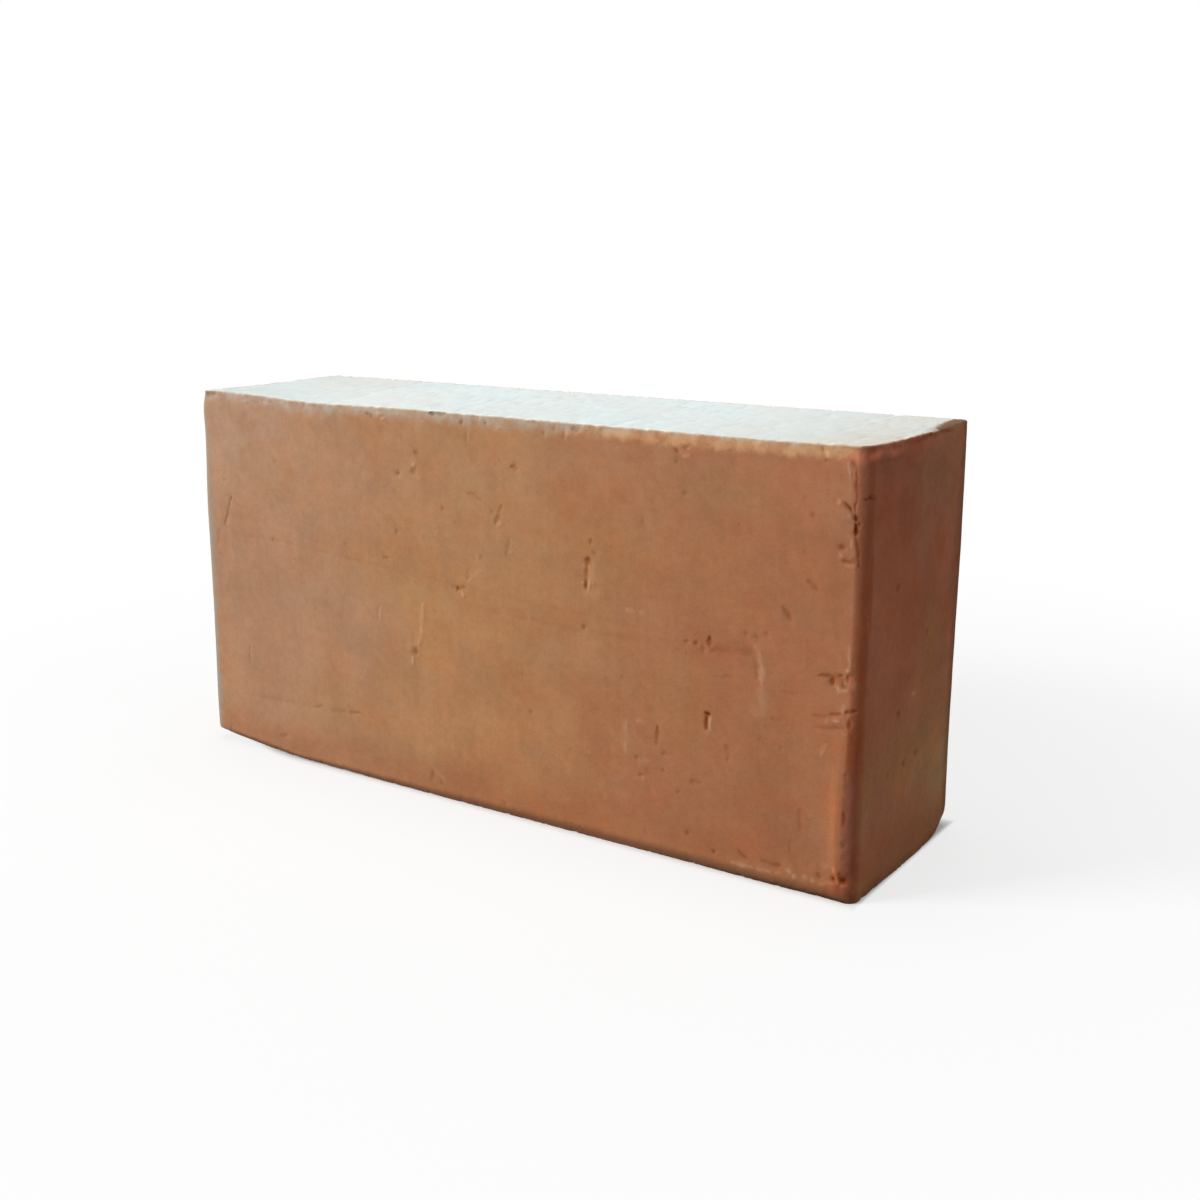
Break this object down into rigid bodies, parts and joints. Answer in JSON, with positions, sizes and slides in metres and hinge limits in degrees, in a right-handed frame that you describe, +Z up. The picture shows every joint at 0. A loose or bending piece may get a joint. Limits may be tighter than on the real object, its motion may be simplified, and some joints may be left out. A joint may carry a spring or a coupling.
{
  "type": "clay brick",
  "caption": "Solid fired clay brick with rounded upright arrises, wire-cut top and base and worn corners, standing on edge.",
  "frame": {"origin": "middle of the base, the long narrow face that the brick stands on", "axes": "+X along the length, +Y through the thickness from the front bed to the back bed, +Z up"},
  "size_m": [0.2286, 0.0636, 0.1143],
  "materials": {
    "fired_clay": "matte"
  },
  "bodies": {
    "root": {"brick": "fired_clay"}
  },
  "joints": []
}
